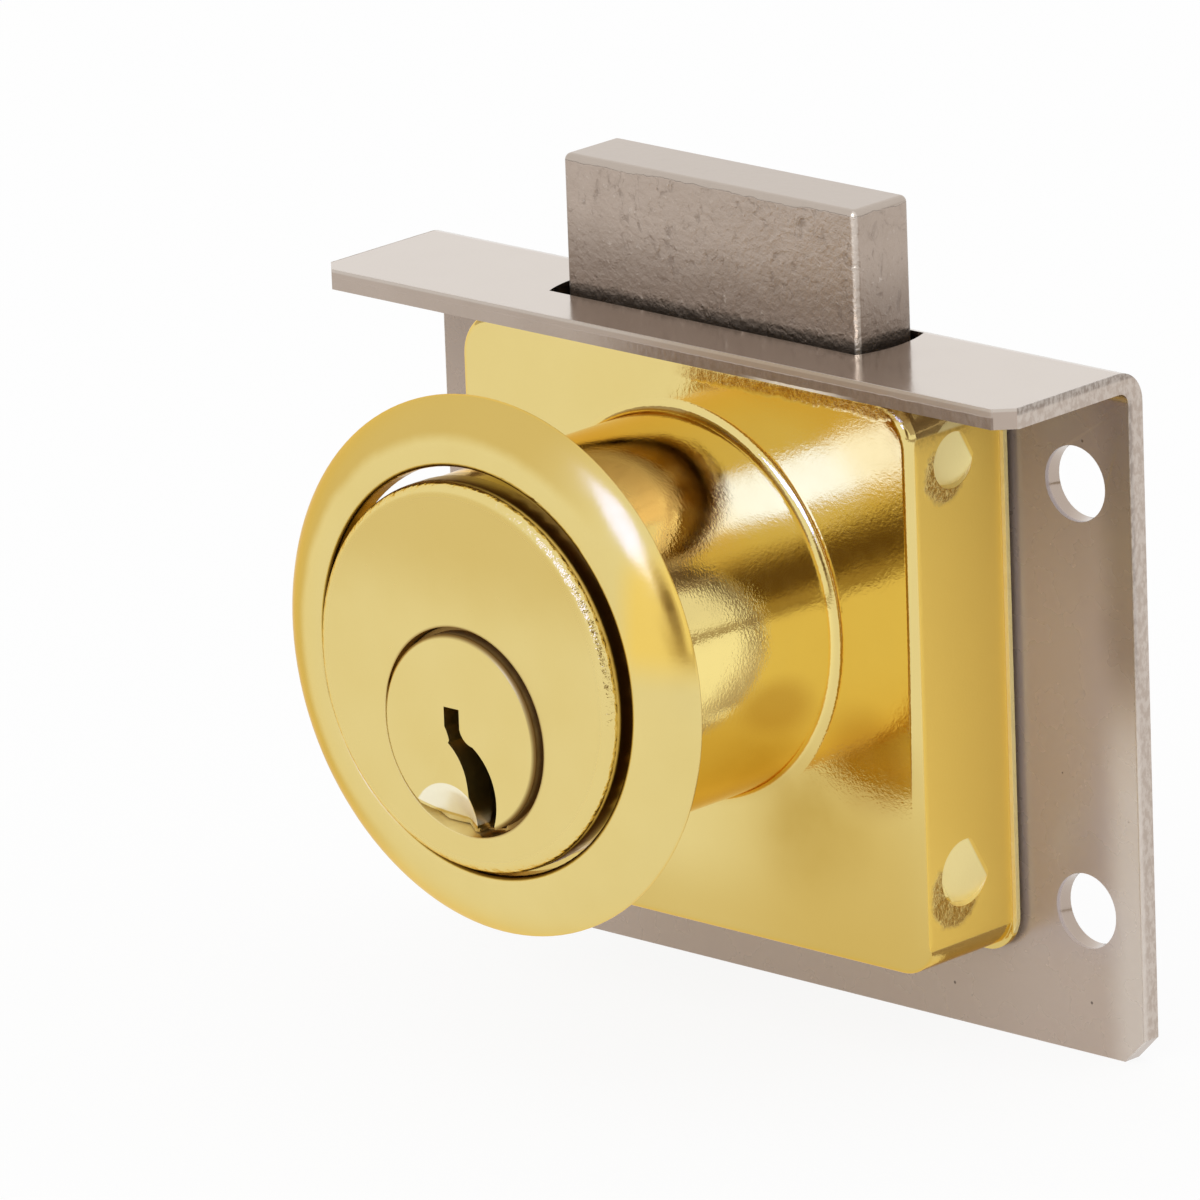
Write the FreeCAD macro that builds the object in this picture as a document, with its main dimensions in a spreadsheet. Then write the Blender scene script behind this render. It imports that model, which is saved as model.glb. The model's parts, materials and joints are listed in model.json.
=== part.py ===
import FreeCAD, Part
import os
import types

import Sketcher

# Half-mortise cabinet lock: an L-shaped back plate, a cast case with its barrel, a pin tumbler cylinder,
# a loose rosette and a dead bolt that rises through the flange.
#
# Millimetres. X runs to the right seen from the key side, Y into the cabinet and Z up. The origin is the
# middle of the four screw holes, in the front face of the back plate, which lies against the wood.

SIZES = {
    # Back plate: one bent sheet, its flange over the top of the wood
    "plate_width": 57.0,
    "plate_gauge": 1.3,
    "flange_level": 21.4,
    "flange_reach": 11.15,
    "bend_radius": 0.8,
    "flange_cut": 1.2,
    "foot_cut": 1.6,
    "screw_inset": 4.45,
    "screw_foot": 9.15,
    "screw_rise": 27.2,
    "screw_hole": 4.8,
    "slot_front": 0.95,
    "slot_past": 0.6,
    "slot_end_radius": 8.0,
    # Case: a cast box with the barrel on its front
    "case_width": 37.4,
    "case_depth": 8.9,
    "case_foot": 16.9,
    "case_headroom": 0.3,
    "case_gap": 0.45,
    "case_wall": 1.4,
    "case_corner": 2.2,
    "case_shoulder": 3.0,
    "case_edge": 0.75,
    "lip_side": 0.35,
    "lip_gauge": 0.35,
    "barrel_level": 4.0,
    "barrel_diameter": 24.3,
    "barrel_wall": 1.2,
    "barrel_root": 0.8,
    "dimple_top_width": 3.5,
    "dimple_foot_width": 4.2,
    "dimple_depth": 0.4,
    "dimple_tilt": 15.0,
    "dimple_turn": 30.0,
    "dimple_set_back": 4.0,
    "dimple_top_inset": 4.4,
    "dimple_foot_inset": 6.1,
    "stake_width": 3.0,
    "stake_length": 0.9,
    # Guide frame: a channel on the plate that the case is staked to and the bolt runs in
    "guide_gauge": 0.9,
    "guide_bend": 0.4,
    "guide_top_inset": 0.6,
    "guide_foot_inset": 2.1,
    # Cylinder body
    "face_reach": 29.2,
    "head_lap": 0.1,
    "head_gauge": 2.2,
    "head_edge": 1.0,
    "mouth_diameter": 13.14,
    "mouth_depth": 1.8,
    "plug_drop": 3.3,
    "cover_side": 0.65,
    "cover_gauge": 0.9,
    "cover_depth": 1.2,
    "cover_lap": 2.2,
    # Plug
    "plug_diameter": 12.7,
    "plug_proud": 0.45,
    "plug_edge": 0.2,
    "nose_diameter": 12.4,
    "nose_length": 1.25,
    "collar_diameter": 12.96,
    "collar_length": 0.95,
    "keyway_past": 1.0,
    "keyway_width": 1.25,
    "keyway_side": 1.2,
    "keyway_top": 1.55,
    "keyway_straight": 1.25,
    "keyway_bend": 2.5,
    "ward_depth": 0.25,
    "ward_level": 0.72,
    "ward_half": 0.2,
    "ward_lean": 0.1,
    "ward_lip": 0.25,
    "ward_bend": 3.75,
    "waist_side": 0.4,
    "waist_level": 2.6,
    "waist_bend": 6.35,
    "shoulder_side": 1.05,
    "shoulder_level": 0.65,
    "shoulder_bend": 1.25,
    "foot_side": 0.2,
    "foot_width": 1.3,
    "foot_bend": 4.0,
    "lead_in_radius": 3.0,
    "lead_in_depth": 2.0,
    "lead_in_side": 1.2,
    "lead_in_drop": 6.3,
    "tenon_width": 6.0,
    "tenon_height": 4.4,
    # Rings that hold the cylinder in the case and the plug in the cylinder
    "ring_gauge": 0.6,
    "ring_width": 2.0,
    "ring_gap": 5.0,
    "clip_gauge": 0.5,
    "clip_width": 1.3,
    "clip_gap": 4.0,
    "groove_depth": 0.7,
    "groove_land": 0.45,
    # Pins and springs
    "pin_land": 0.6,
    "pin_floor": 0.6,
    "pin_tip": 0.8,
    "pin_bevel": 0.2,
    "first_pin": 5.2,
    "last_pin": 5.15,
    "key_pin_1_length": 5.4,
    "key_pin_2_length": 4.8,
    "key_pin_3_length": 6.0,
    "key_pin_4_length": 5.1,
    "key_pin_5_length": 4.5,
    "driver_length": 3.0,
    "spring_wire": 0.3,
    "spring_play": 0.3,
    # Cam and its screw
    "cam_gauge": 1.3,
    "cam_hub": 11.2,
    "cam_lobe": 4.8,
    "crank_radius": 6.15,
    "drive_pin": 3.0,
    "screw_diameter": 2.6,
    "screw_length": 3.0,
    "screw_head": 6.4,
    "screw_head_height": 0.85,
    "screw_slot_width": 0.8,
    "screw_slot_depth": 0.45,
    # Bolt
    "bolt_width": 24.2,
    "bolt_thickness": 5.0,
    "bolt_corner": 0.45,
    "bolt_lap": 0.5,
    "tail_margin": 2.5,
    # Rosette: a loose drawn ring round the barrel
    "rosette_width": 4.15,
    "rosette_gauge": 0.65,
    "rosette_set_back": 1.05,
    "rosette_height": 2.05,
    "rosette_roll": 0.5,
    "rosette_crown": 4.7,
    "rosette_edge": 0.3,
    "rosette_collar": 1.7,
    "rosette_lift": 0.2,
    # Clearances between pieces that fit into one another
    "barrel_fit": 0.05,
    "plug_fit": 0.05,
    "pin_fit": 0.05,
    "cover_fit": 0.05,
    "ring_fit": 0.05,
    "tenon_fit": 0.05,
    "guide_fit": 0.05,
    "stake_fit": 0.2,
    "bolt_fit": 0.3,
    "bolt_seat": 0.05,
    "tail_fit": 0.35,
    "tail_room": 0.4,
    "drive_fit": 0.3,
    "screw_fit": 0.05,
    "rosette_play": 0.5,
    "over_cut": 1.0,
}
PIN_COUNT = 5


class Size:
    """A number together with the sheet formula that gives it, so each size is written only once."""

    def __init__(self, number, formula=None):
        self.number = float(number)
        self.formula = formula or f"({self.number})"

    def __float__(self):
        return self.number

    def __add__(self, other):
        other = as_size(other)
        return Size(self.number + other.number, f"({self.formula} + {other.formula})")

    def __sub__(self, other):
        other = as_size(other)
        return Size(self.number - other.number, f"({self.formula} - {other.formula})")

    def __mul__(self, other):
        other = as_size(other)
        return Size(self.number * other.number, f"({self.formula} * {other.formula})")

    def __truediv__(self, other):
        other = as_size(other)
        return Size(self.number / other.number, f"({self.formula} / {other.formula})")

    def __neg__(self):
        return Size(0.0) - self

    def root(self):
        return Size(self.number ** 0.5, f"sqrt({self.formula})")


def as_size(thing):
    """The thing itself if it is a Size, or a plain number as one."""
    return thing if isinstance(thing, Size) else Size(thing)


def square(side):
    return side * side


size = types.SimpleNamespace(**{name: Size(number, f"Sizes.{name}") for name, number in SIZES.items()})
ZERO = Size(0.0)

doc = FreeCAD.newDocument("cabinet_lock")
sheet = doc.addObject("Spreadsheet::Sheet", "Sizes")
for row, (name, number) in enumerate(SIZES.items(), 1):
    sheet.set(f"A{row}", name)
    sheet.set(f"B{row}", str(number))
    sheet.setAlias(f"B{row}", name)
doc.recompute()

pieces = []

# Distances in front of the plate, along the barrel
wall_inside = size.case_depth - size.case_wall
barrel_end = size.face_reach - size.head_gauge
ring_back = wall_inside - size.ring_fit - size.ring_gauge
body_end = ring_back - size.ring_fit - size.groove_land
plug_face = size.face_reach + size.plug_proud
clip_front = body_end - size.ring_fit
clip_back = clip_front - size.clip_gauge
plug_end = clip_back - size.ring_fit - size.groove_land
cam_back = plug_end - size.cam_gauge
bolt_back = size.guide_gauge + size.bolt_seat
tail_gauge = cam_back - size.screw_head_height - size.tail_room - bolt_back

# Radii and half widths
head_radius = size.barrel_diameter / 2 + size.head_lap
body_radius = size.barrel_diameter / 2 - size.barrel_wall - size.barrel_fit
plug_radius = size.plug_diameter / 2
plug_bore = plug_radius + size.plug_fit
pin_pitch = (plug_face - size.first_pin - size.last_pin - plug_end) / (PIN_COUNT - 1)
pin_radius = (pin_pitch - size.pin_land) / 2
pin_bore = pin_radius + size.pin_fit
cover_half = pin_radius + size.cover_side
screw_half_span = size.plate_width / 2 - size.screw_inset
guide_half = size.case_width / 2 - size.case_wall - size.guide_fit
guide_inner = guide_half - size.guide_gauge
tail_half = guide_inner - size.tail_fit

# Heights
plate_foot = size.screw_rise / 2 + size.screw_foot
plug_level = size.barrel_level - size.plug_drop
case_top = size.flange_level - size.plate_gauge - size.case_headroom
crank_offset = size.crank_radius / Size(2).root()
throw = crank_offset * 2
drive_level = plug_level + crank_offset
shoulder_level = case_top - size.case_wall - size.bolt_fit
dimples = ((case_top - size.dimple_top_inset, size.dimple_top_width),
           (size.dimple_foot_inset - size.case_foot, size.dimple_foot_width))
dimple_place = size.case_depth - size.dimple_set_back
driver_foot = plug_level + plug_bore
driver_top = driver_foot + size.driver_length
cover_foot = size.barrel_level + body_radius - size.cover_depth


def new_body(label, level=ZERO):
    """An empty body whose own origin stands at the given height on the plate's front face."""
    body = doc.addObject("PartDesign::Body", label)
    body.Label = label
    body.setExpression("Placement.Base.z", level.formula)
    pieces.append(body)
    return body


def sketch_on(body, plane, offset=ZERO):
    """An empty sketch on one of the body's origin planes, moved along the plane's normal."""
    sketch = body.newObject("Sketcher::SketchObject", f"{body.Label}_sketch")
    support = next(item for item in body.Origin.OriginFeatures if item.Role == plane)
    sketch.AttachmentSupport = [(support, "")]
    sketch.MapMode = "FlatFace"
    sketch.setExpression("AttachmentOffset.Base.z", offset.formula)
    return sketch


def bind(sketch, constraint, target):
    """Add a constraint whose value follows the sheet."""
    index = sketch.addConstraint(constraint)
    sketch.setExpression(f"Constraints[{index}]", target.formula)


def pin_point(sketch, geometry, position, across, up):
    """Fix one point of a line, arc or circle at its distances from the sketch's origin."""
    bind(sketch, Sketcher.Constraint("DistanceX", -1, 1, geometry, position, float(across)), across)
    bind(sketch, Sketcher.Constraint("DistanceY", -1, 1, geometry, position, float(up)), up)


def segment(start, end, radius):
    """A line, or an arc that bulges to the left of the way on, or to the right if the radius is negative."""
    if radius is None:
        return Part.LineSegment(start, end)
    chord = end - start
    reach = abs(float(radius))
    rise = reach - max(reach ** 2 - (chord.Length / 2) ** 2, 0.0) ** 0.5
    left = FreeCAD.Vector(-chord.y, chord.x, 0).normalize()
    side = 1 if float(radius) > 0 else -1
    return Part.Arc(start, start + chord / 2 + left * rise * side, end)


def outline(sketch, corners):
    """A closed outline through the corners; a third value in a corner is the radius of the arc it starts."""
    joins = []
    count = len(corners)
    for number, corner in enumerate(corners):
        across, up = as_size(corner[0]), as_size(corner[1])
        after = corners[(number + 1) % count]
        start = FreeCAD.Vector(float(across), float(up), 0)
        end = FreeCAD.Vector(float(after[0]), float(after[1]), 0)
        radius = as_size(corner[2]) if len(corner) > 2 else None
        index = sketch.addGeometry(segment(start, end, radius))
        head = 1 if sketch.getPoint(index, 1).distanceToPoint(start) < 0.000001 else 2
        pin_point(sketch, index, head, across, up)
        if radius is not None:
            curve_arc(sketch, index, across, radius, (end - start).Length)
        joins.append((index, head))
    for number, (index, head) in enumerate(joins):
        after_index, after_head = joins[(number + 1) % count]
        sketch.addConstraint(Sketcher.Constraint("Coincident", index, 3 - head, after_index, after_head))


def curve_arc(sketch, index, across, radius, chord):
    """Hold an arc by its radius, or a half circle on an upright chord by the place of its centre."""
    reach = radius if float(radius) > 0 else -radius
    if float(reach) * 2 - chord > 0.001:
        bind(sketch, Sketcher.Constraint("Radius", index, float(reach)), reach)
    else:
        bind(sketch, Sketcher.Constraint("DistanceX", -1, 1, index, 3, float(across)), across)


def rectangle(sketch, left, right, low, high):
    outline(sketch, [(left, low), (right, low), (right, high), (left, high)])


def circle(sketch, across, up, radius):
    centre = FreeCAD.Vector(float(across), float(up), 0)
    index = sketch.addGeometry(Part.Circle(centre, FreeCAD.Vector(0, 0, 1), float(radius)))
    pin_point(sketch, index, 3, as_size(across), as_size(up))
    bind(sketch, Sketcher.Constraint("Radius", index, float(radius)), radius)


def pad(body, sketch, length, reverse=False):
    """Add material along the sketch's normal, or against it."""
    feature = body.newObject("PartDesign::Pad", f"{body.Label}_pad")
    feature.Profile = sketch
    feature.setExpression("Length", length.formula)
    feature.Reversed = reverse
    doc.recompute()
    return feature


def pocket(body, sketch, depth, reverse=False):
    """Cut against the sketch's normal, or along it, and make sure that something was cut."""
    before = body.Shape.Volume
    feature = body.newObject("PartDesign::Pocket", f"{body.Label}_pocket")
    feature.Profile = sketch
    feature.setExpression("Length", depth.formula)
    feature.Reversed = reverse
    doc.recompute()
    if body.Shape.Volume >= before:
        raise RuntimeError(f"{feature.Label} cuts nothing")
    return feature


def edges_at(body, **levels):
    """Names of the edges that lie wholly at the given places; x counts on both sides."""
    names = []
    for number, edge in enumerate(body.Tip.Shape.Edges, 1):
        points = [FreeCAD.Vector(abs(point.x), point.y, point.z) for point in edge.discretize(5)]
        if all(abs(getattr(point, axis) - float(level)) < 0.001
               for point in points for axis, level in levels.items()):
            names.append(f"Edge{number}")
    return names


def round_edges(body, names, radius):
    base = body.Tip
    feature = body.newObject("PartDesign::Fillet", f"{body.Label}_round")
    feature.Base = (base, names)
    feature.setExpression("Radius", radius.formula)
    doc.recompute()


def bevel_edges(body, names, width):
    base = body.Tip
    feature = body.newObject("PartDesign::Chamfer", f"{body.Label}_bevel")
    feature.Base = (base, names)
    feature.setExpression("Size", width.formula)
    doc.recompute()


def turned(label, level, corners, upright=False, place=ZERO):
    """A body turned about the barrel's direction, or about a vertical line at a place along it."""
    body = new_body(label, level)
    sketch = sketch_on(body, "XZ_Plane" if upright else "YZ_Plane")
    outline(sketch, corners)
    feature = body.newObject("PartDesign::Revolution", f"{label}_turning")
    feature.Profile = sketch
    feature.ReferenceAxis = (sketch, ["V_Axis"] if upright else ["H_Axis"])
    feature.Angle = 360
    body.setExpression("Placement.Base.y", place.formula)
    doc.recompute()
    return body


def pin_places():
    """Distances in front of the plate at which the five pins stand."""
    return [plug_face - size.first_pin - pin_pitch * number for number in range(PIN_COUNT)]


def make_back_plate():
    body = new_body("back_plate")
    flange_foot = size.flange_level - size.plate_gauge
    side = sketch_on(body, "YZ_Plane", -size.plate_width / 2)
    outline(side, [(size.plate_gauge, -plate_foot), (size.plate_gauge, size.flange_level),
                   (-size.flange_reach, size.flange_level), (-size.flange_reach, flange_foot),
                   (ZERO, flange_foot), (ZERO, -plate_foot)])
    pad(body, side, size.plate_width)
    round_edges(body, edges_at(body, y=size.plate_gauge, z=size.flange_level),
                size.bend_radius + size.plate_gauge)
    round_edges(body, edges_at(body, y=ZERO, z=flange_foot), size.bend_radius)
    bevel_edges(body, edges_at(body, x=size.plate_width / 2, y=-size.flange_reach), size.flange_cut)
    bevel_edges(body, edges_at(body, x=size.plate_width / 2, z=-plate_foot), size.foot_cut)
    holes = sketch_on(body, "XZ_Plane")
    for side_sign in (-1, 1):
        for rise_sign in (-1, 1):
            circle(holes, screw_half_span * side_sign, size.screw_rise / 2 * rise_sign, size.screw_hole / 2)
    pocket(body, holes, size.plate_gauge)
    slot = sketch_on(body, "XY_Plane", size.flange_level)
    end = size.bolt_width / 2 + size.slot_past
    front = -(bolt_back + size.bolt_thickness + size.slot_front)
    back = -(bolt_back - size.bolt_fit)
    outline(slot, [(-end, front), (end, front, -size.slot_end_radius), (end, back),
                   (-end, back, -size.slot_end_radius)])
    pocket(body, slot, size.plate_gauge)


def make_case():
    body = new_body("case")
    half = size.case_width / 2
    box = sketch_on(body, "XZ_Plane", size.case_gap)
    rectangle(box, -half, half, -size.case_foot, case_top)
    pad(body, box, size.case_depth - size.case_gap)
    round_edges(body, edges_at(body, x=half, z=-size.case_foot), size.case_corner)
    round_edges(body, edges_at(body, x=half, z=case_top), size.case_shoulder)
    round_edges(body, edges_at(body, y=-size.case_depth), size.case_edge)
    lip_half, lip_foot = half + size.lip_side, -(size.case_foot + size.lip_side)
    lip = sketch_on(body, "XZ_Plane", size.case_gap)
    rectangle(lip, -lip_half, lip_half, lip_foot, case_top)
    pad(body, lip, size.lip_gauge)
    round_edges(body, edges_at(body, x=lip_half, z=lip_foot), size.case_corner + size.lip_side)
    round_edges(body, edges_at(body, x=lip_half, z=case_top), size.case_shoulder)
    barrel = sketch_on(body, "XZ_Plane", size.case_depth)
    circle(barrel, ZERO, size.barrel_level, size.barrel_diameter / 2)
    pad(body, barrel, barrel_end - size.case_depth)
    root = [name for name in edges_at(body, y=-size.case_depth) if is_ring(body, name, size.barrel_diameter / 2)]
    round_edges(body, root, size.barrel_root)
    inside = sketch_on(body, "XZ_Plane")
    rectangle(inside, -half + size.case_wall, half - size.case_wall,
              -size.case_foot + size.case_wall, case_top - size.case_wall)
    pocket(body, inside, wall_inside, reverse=True)
    bore = sketch_on(body, "XZ_Plane")
    circle(bore, ZERO, size.barrel_level, size.barrel_diameter / 2 - size.barrel_wall)
    pocket(body, bore, barrel_end, reverse=True)
    notch = sketch_on(body, "XY_Plane", case_top)
    rectangle(notch, -size.bolt_width / 2 - size.bolt_fit, size.bolt_width / 2 + size.bolt_fit,
              -(bolt_back + size.bolt_thickness + size.bolt_fit), ZERO)
    pocket(body, notch, size.case_wall)
    for level, width in dimples:
        stake_case(body, half, level, width)


def is_ring(body, name, radius):
    """Whether a named edge is a circle of the given radius."""
    curve = body.Tip.Shape.getElement(name).Curve
    return isinstance(curve, Part.Circle) and abs(curve.Radius - float(radius)) < 0.001


def stake_case(body, half, level, width):
    """A slanting punch mark in each side wall, and the stud of the wall that it drives into the guide frame."""
    mark = sketch_on(body, "YZ_Plane")
    tilt = FreeCAD.Rotation(FreeCAD.Vector(0, 1, 0), -SIZES["dimple_tilt"])
    turn = FreeCAD.Rotation(FreeCAD.Vector(0, 0, 1), SIZES["dimple_turn"])
    mark.AttachmentOffset = FreeCAD.Placement(FreeCAD.Vector(), turn.multiply(tilt))
    mark.setExpression("AttachmentOffset.Base.x", (-dimple_place).formula)
    mark.setExpression("AttachmentOffset.Base.y", level.formula)
    mark.setExpression("AttachmentOffset.Base.z", (half - size.dimple_depth).formula)
    circle(mark, ZERO, ZERO, width / 2)
    punched = pocket(body, mark, size.dimple_depth + size.over_cut, reverse=True)
    stud = sketch_on(body, "YZ_Plane", half - size.case_wall)
    circle(stud, -dimple_place, level, size.stake_width / 2)
    driven = pad(body, stud, size.stake_length, reverse=True)
    mirror = body.newObject("PartDesign::Mirrored", "case_other_side")
    mirror.Originals = [punched, driven]
    mirror.MirrorPlane = (next(item for item in body.Origin.OriginFeatures if item.Role == "YZ_Plane"), [""])
    body.Tip = mirror
    doc.recompute()


def make_guide_frame():
    body = new_body("guide_frame")
    reach = wall_inside - size.guide_fit
    foot = size.case_wall + size.guide_foot_inset - size.case_foot
    channel = sketch_on(body, "XY_Plane", foot)
    outline(channel, [(-guide_half, ZERO), (-guide_half, -reach),
                      (-guide_inner, -reach), (-guide_inner, -size.guide_gauge),
                      (guide_inner, -size.guide_gauge), (guide_inner, -reach),
                      (guide_half, -reach), (guide_half, ZERO)])
    pad(body, channel, case_top - size.case_wall - size.guide_top_inset - foot)
    round_edges(body, edges_at(body, x=guide_half, y=ZERO), size.guide_bend + size.guide_gauge)
    round_edges(body, edges_at(body, x=guide_inner, y=-size.guide_gauge), size.guide_bend)
    holes = sketch_on(body, "YZ_Plane", -(guide_half + size.over_cut))
    for level, width in dimples:
        circle(holes, -dimple_place, level, size.stake_width / 2 + size.stake_fit)
    pocket(body, holes, (guide_half + size.over_cut) * 2, reverse=True)


def make_bolt():
    body = new_body("bolt")
    half = size.bolt_width / 2
    head = sketch_on(body, "XZ_Plane", bolt_back)
    rectangle(head, -half, half, shoulder_level - size.bolt_lap, size.flange_level + throw)
    pad(body, head, size.bolt_thickness)
    round_edges(body, edges_at(body, x=half, y=-bolt_back)
                + edges_at(body, x=half, y=-bolt_back - size.bolt_thickness), size.bolt_corner)
    round_edges(body, edges_at(body, z=size.flange_level + throw), size.bolt_corner)
    tail = sketch_on(body, "XZ_Plane", bolt_back)
    slot_half = size.drive_pin / 2 + size.drive_fit
    rectangle(tail, -tail_half, tail_half, drive_level - slot_half - size.tail_margin, shoulder_level)
    pad(body, tail, tail_gauge)
    slot = sketch_on(body, "XZ_Plane", bolt_back + tail_gauge)
    left, right = crank_offset, size.crank_radius
    outline(slot, [(left, drive_level - slot_half), (right, drive_level - slot_half, -slot_half),
                   (right, drive_level + slot_half), (left, drive_level + slot_half, -slot_half)])
    pocket(body, slot, tail_gauge)


def make_cylinder_body():
    groove = body_radius - size.groove_depth
    body = turned("cylinder_body", size.barrel_level, [
        (-size.face_reach, ZERO), (-size.face_reach, head_radius),
        (-barrel_end, head_radius), (-barrel_end, body_radius),
        (-wall_inside, body_radius), (-wall_inside, groove),
        (-(ring_back - size.ring_fit), groove), (-(ring_back - size.ring_fit), body_radius),
        (-body_end, body_radius), (-body_end, ZERO)])
    bore = sketch_on(body, "XZ_Plane", body_end - size.over_cut)
    circle(bore, ZERO, -size.plug_drop, plug_bore)
    pocket(body, bore, size.face_reach, reverse=True)
    mouth = sketch_on(body, "XZ_Plane", size.face_reach)
    circle(mouth, ZERO, -size.plug_drop, size.mouth_diameter / 2)
    pocket(body, mouth, size.mouth_depth)
    rim = [name for name in edges_at(body, y=-size.face_reach) if is_ring(body, name, head_radius)]
    round_edges(body, rim, size.head_edge)
    chambers = sketch_on(body, "XY_Plane", body_radius)
    for place in pin_places():
        circle(chambers, ZERO, -place, pin_bore)
    pocket(body, chambers, body_radius + size.plug_drop)
    channel = sketch_on(body, "XY_Plane", body_radius)
    rectangle(channel, -cover_half, cover_half, -(pin_places()[0] + size.cover_lap),
              -(pin_places()[-1] - size.cover_lap))
    pocket(body, channel, size.cover_depth)


def make_pin_cover():
    body = new_body("pin_chamber_cover", size.barrel_level)
    half = cover_half - size.cover_fit
    strip = sketch_on(body, "XY_Plane", body_radius - size.cover_depth)
    rectangle(strip, -half, half, -(pin_places()[0] + size.cover_lap - size.cover_fit),
              -(pin_places()[-1] - size.cover_lap + size.cover_fit))
    pad(body, strip, size.cover_gauge)


def turn_about_middle(across, up):
    """A point turned by an eighth of a turn, for the crank that stands halfway between two axes."""
    scale = Size(2).root()
    return (across - up) / scale, (across + up) / scale


def make_plug():
    groove = plug_radius - size.groove_depth
    nose, collar = size.nose_diameter / 2, size.collar_diameter / 2
    collar_front = -plug_face + size.nose_length
    collar_back = collar_front + size.collar_length
    body = turned("plug", plug_level, [
        (-plug_face, ZERO), (-plug_face, nose), (collar_front, nose), (collar_front, collar),
        (collar_back, collar), (collar_back, plug_radius),
        (-body_end, plug_radius), (-body_end, groove),
        (-(clip_back - size.ring_fit), groove), (-(clip_back - size.ring_fit), plug_radius),
        (-plug_end, plug_radius), (-plug_end, ZERO)])
    bevel_edges(body, edges_at(body, y=-plug_face), size.plug_edge)
    tenon = sketch_on(body, "XZ_Plane", cam_back)
    rectangle(tenon, -size.tenon_width / 2, size.tenon_width / 2, -size.tenon_height / 2, size.tenon_height / 2)
    pad(body, tenon, size.cam_gauge)
    tapping = sketch_on(body, "XZ_Plane", cam_back)
    circle(tapping, ZERO, ZERO, size.screw_diameter / 2 + size.screw_fit)
    pocket(body, tapping, size.screw_length + size.screw_fit, reverse=True)
    cut_keyway(body)
    holes = sketch_on(body, "XY_Plane", plug_radius)
    for place in pin_places():
        circle(holes, ZERO, -place, pin_bore)
    pocket(body, holes, plug_radius + size.pin_floor)


def cut_keyway(body):
    """The warded keyway: straight at its top, then an S that runs out through the lower edge of the plug."""
    way = sketch_on(body, "XZ_Plane", plug_face)
    left = -size.keyway_side
    right = left + size.keyway_width
    bend = size.keyway_top - size.keyway_straight
    ward = -size.ward_level
    notch = left + size.ward_depth
    low = -(plug_radius + size.over_cut)
    outline(way, [
        (left, size.keyway_top), (left, bend, size.keyway_bend),
        (notch + size.ward_lean, ward + size.ward_half), (notch, ward),
        (notch + size.ward_lip, ward - size.ward_half, size.ward_bend),
        (size.waist_side, -size.waist_level, size.waist_bend),
        (-size.foot_side, low), (size.foot_width - size.foot_side, low, -size.foot_bend),
        (right + size.shoulder_side, -size.shoulder_level, size.shoulder_bend),
        (right, bend), (right, size.keyway_top)])
    pocket(body, way, plug_face - pin_places()[-1] + size.keyway_past)
    lead_in = body.newObject("PartDesign::SubtractiveCone", "key_lead_in")
    lead_in.setExpression("Radius1", size.lead_in_radius.formula)
    lead_in.Radius2 = 0
    lead_in.setExpression("Height", size.lead_in_depth.formula)
    support = next(item for item in body.Origin.OriginFeatures if item.Role == "XZ_Plane")
    lead_in.AttachmentSupport = [(support, "")]
    lead_in.MapMode = "FlatFace"
    lead_in.AttachmentOffset = FreeCAD.Placement(FreeCAD.Vector(), FreeCAD.Rotation(FreeCAD.Vector(1, 0, 0), 180))
    lead_in.setExpression("AttachmentOffset.Base.x", (-size.lead_in_side).formula)
    lead_in.setExpression("AttachmentOffset.Base.y", (-size.lead_in_drop).formula)
    lead_in.setExpression("AttachmentOffset.Base.z", plug_face.formula)
    doc.recompute()


def make_split_ring(label, level, back, gauge, inner, width, gap):
    """A flat spring ring with a gap at its lower side, seated in a groove."""
    body = turned(label, level, [
        (-(back + gauge), inner), (-(back + gauge), inner + width), (-back, inner + width), (-back, inner)])
    opening = sketch_on(body, "XZ_Plane", back)
    rectangle(opening, -gap / 2, gap / 2, -(inner + width + size.over_cut), ZERO)
    pocket(body, opening, gauge, reverse=True)


def make_cam():
    """A crank: hub and lobe joined by their common tangents, with the drive pin on the lobe."""
    body = new_body("cam", plug_level)
    hub, lobe = size.cam_hub / 2, size.cam_lobe / 2
    lean = (hub - lobe) / size.crank_radius
    swell = (Size(1) - square(lean)).root()
    upper = turn_about_middle(hub * lean, hub * swell)
    upper_lobe = turn_about_middle(size.crank_radius + lobe * lean, lobe * swell)
    lower_lobe = turn_about_middle(size.crank_radius + lobe * lean, -(lobe * swell))
    lower = turn_about_middle(hub * lean, -(hub * swell))
    far = turn_about_middle(-hub, ZERO)
    plate = sketch_on(body, "XZ_Plane", cam_back)
    outline(plate, [upper, (*upper_lobe, lobe), lower_lobe, (*lower, hub), (*far, hub)])
    pad(body, plate, size.cam_gauge)
    hole = sketch_on(body, "XZ_Plane", cam_back)
    half_width = size.tenon_width / 2 + size.tenon_fit
    half_height = size.tenon_height / 2 + size.tenon_fit
    rectangle(hole, -half_width, half_width, -half_height, half_height)
    pocket(body, hole, size.cam_gauge, reverse=True)
    drive = sketch_on(body, "XZ_Plane", size.guide_gauge + size.bolt_fit)
    circle(drive, crank_offset, crank_offset, size.drive_pin / 2)
    pad(body, drive, cam_back - size.guide_gauge - size.bolt_fit)


def make_cam_screw():
    head_back = cam_back - size.screw_head_height
    body = turned("cam_screw", plug_level, [
        (-(cam_back + size.screw_length), ZERO), (-(cam_back + size.screw_length), size.screw_diameter / 2),
        (-cam_back, size.screw_diameter / 2), (-cam_back, size.screw_head / 2),
        (-head_back, size.screw_head / 2), (-head_back, ZERO)])
    bevel_edges(body, edges_at(body, y=-head_back), size.pin_bevel)
    slot = sketch_on(body, "XZ_Plane", head_back)
    rectangle(slot, -size.screw_slot_width / 2, size.screw_slot_width / 2, -size.screw_head, size.screw_head)
    pocket(body, slot, size.screw_slot_depth, reverse=True)


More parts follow.
